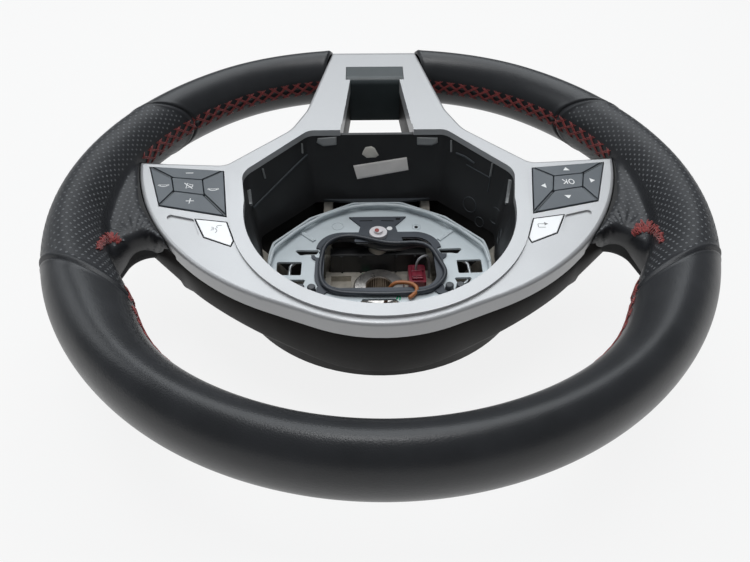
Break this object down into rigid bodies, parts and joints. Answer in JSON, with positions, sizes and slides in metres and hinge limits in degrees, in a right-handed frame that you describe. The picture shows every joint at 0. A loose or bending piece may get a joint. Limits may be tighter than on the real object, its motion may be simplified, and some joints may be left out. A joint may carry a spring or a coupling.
{
  "type": "car steering wheel",
  "caption": "Leather-wrapped car steering wheel with a silver three-spoke bezel, spring-back switch keys and an open airbag well over a splined hub.",
  "frame": {"origin": "middle of the hub's back face, at the mouth of the column bore", "axes": "+Z along the steering axis towards the driver, +Y towards the top of the rim, +X towards the driver's right"},
  "size_m": [0.3708, 0.3644, 0.114],
  "materials": {
    "casting": "rough cast",
    "turned_steel": "turned",
    "foam": "moulded foam",
    "leather": "grained",
    "silver_trim": "satin silver paint",
    "black_plastic": "fine grain",
    "carrier_plastic": "moulded",
    "mat_rubber": "matt",
    "contact_plastic": "moulded",
    "red_plastic": "moulded",
    "brown_cover": "smooth",
    "grey_cover": "smooth",
    "board": "coated",
    "key_plastic": "satin"
  },
  "bodies": {
    "wheel": {"armature": "casting", "hub_sleeve": "turned_steel", "rim_foam": "foam", "leather_top": "leather", "leather_grip_right": "leather", "leather_grip_left": "leather", "leather_lower_right": "leather", "leather_lower_left": "leather", "trim_bezel": "silver_trim", "spoke_insert": "black_plastic", "airbag_well": "black_plastic", "rear_cover": "black_plastic", "cover_screws": "turned_steel", "airbag_carrier": "carrier_plastic", "horn_mat": "mat_rubber", "horn_contact": "contact_plastic", "guide_pegs": "black_plastic", "retaining_spring_right": "turned_steel", "retaining_spring_left": "turned_steel", "connector_plug": "red_plastic", "lead_brown": "brown_cover", "lead_grey": "grey_cover", "switch_housing_right": "black_plastic", "switch_housing_left": "black_plastic", "switch_board_right": "board", "switch_board_left": "board", "key_mat_right": "mat_rubber", "key_mat_left": "mat_rubber"},
    "key_volume_down": {"key_volume_down": "key_plastic"},
    "key_volume_up": {"key_volume_up": "key_plastic"},
    "key_answer": {"key_answer": "key_plastic"},
    "key_hang_up": {"key_hang_up": "key_plastic"},
    "key_mute": {"key_mute": "key_plastic"},
    "key_voice": {"key_voice": "silver_trim"},
    "key_menu_down": {"key_menu_down": "key_plastic"},
    "key_menu_up": {"key_menu_up": "key_plastic"},
    "key_menu_left": {"key_menu_left": "key_plastic"},
    "key_menu_right": {"key_menu_right": "key_plastic"},
    "key_menu_ok": {"key_menu_ok": "key_plastic"},
    "key_back": {"key_back": "silver_trim"}
  },
  "joints": [
    {"name": "press_volume_down", "type": "slide", "parent": "wheel", "child": "key_volume_down", "axis": [0, -0.0884, -0.9961], "range_m": [0, 0.001], "stiffness_N_per_m": 1500},
    {"name": "press_volume_up", "type": "slide", "parent": "wheel", "child": "key_volume_up", "axis": [0, -0.0884, -0.9961], "range_m": [0, 0.001], "stiffness_N_per_m": 1500},
    {"name": "press_answer", "type": "slide", "parent": "wheel", "child": "key_answer", "axis": [0, -0.0884, -0.9961], "range_m": [0, 0.001], "stiffness_N_per_m": 1500},
    {"name": "press_hang_up", "type": "slide", "parent": "wheel", "child": "key_hang_up", "axis": [0, -0.0884, -0.9961], "range_m": [0, 0.001], "stiffness_N_per_m": 1500},
    {"name": "press_mute", "type": "slide", "parent": "wheel", "child": "key_mute", "axis": [0, -0.0884, -0.9961], "range_m": [0, 0.001], "stiffness_N_per_m": 1500},
    {"name": "press_voice", "type": "slide", "parent": "wheel", "child": "key_voice", "axis": [0, -0.0884, -0.9961], "range_m": [0, 0.001], "stiffness_N_per_m": 1500},
    {"name": "press_menu_down", "type": "slide", "parent": "wheel", "child": "key_menu_down", "axis": [0, -0.0884, -0.9961], "range_m": [0, 0.001], "stiffness_N_per_m": 1500},
    {"name": "press_menu_up", "type": "slide", "parent": "wheel", "child": "key_menu_up", "axis": [0, -0.0884, -0.9961], "range_m": [0, 0.001], "stiffness_N_per_m": 1500},
    {"name": "press_menu_left", "type": "slide", "parent": "wheel", "child": "key_menu_left", "axis": [0, -0.0884, -0.9961], "range_m": [0, 0.001], "stiffness_N_per_m": 1500},
    {"name": "press_menu_right", "type": "slide", "parent": "wheel", "child": "key_menu_right", "axis": [0, -0.0884, -0.9961], "range_m": [0, 0.001], "stiffness_N_per_m": 1500},
    {"name": "press_menu_ok", "type": "slide", "parent": "wheel", "child": "key_menu_ok", "axis": [0, -0.0884, -0.9961], "range_m": [0, 0.001], "stiffness_N_per_m": 1500},
    {"name": "press_back", "type": "slide", "parent": "wheel", "child": "key_back", "axis": [0, -0.0884, -0.9961], "range_m": [0, 0.001], "stiffness_N_per_m": 1500}
  ]
}
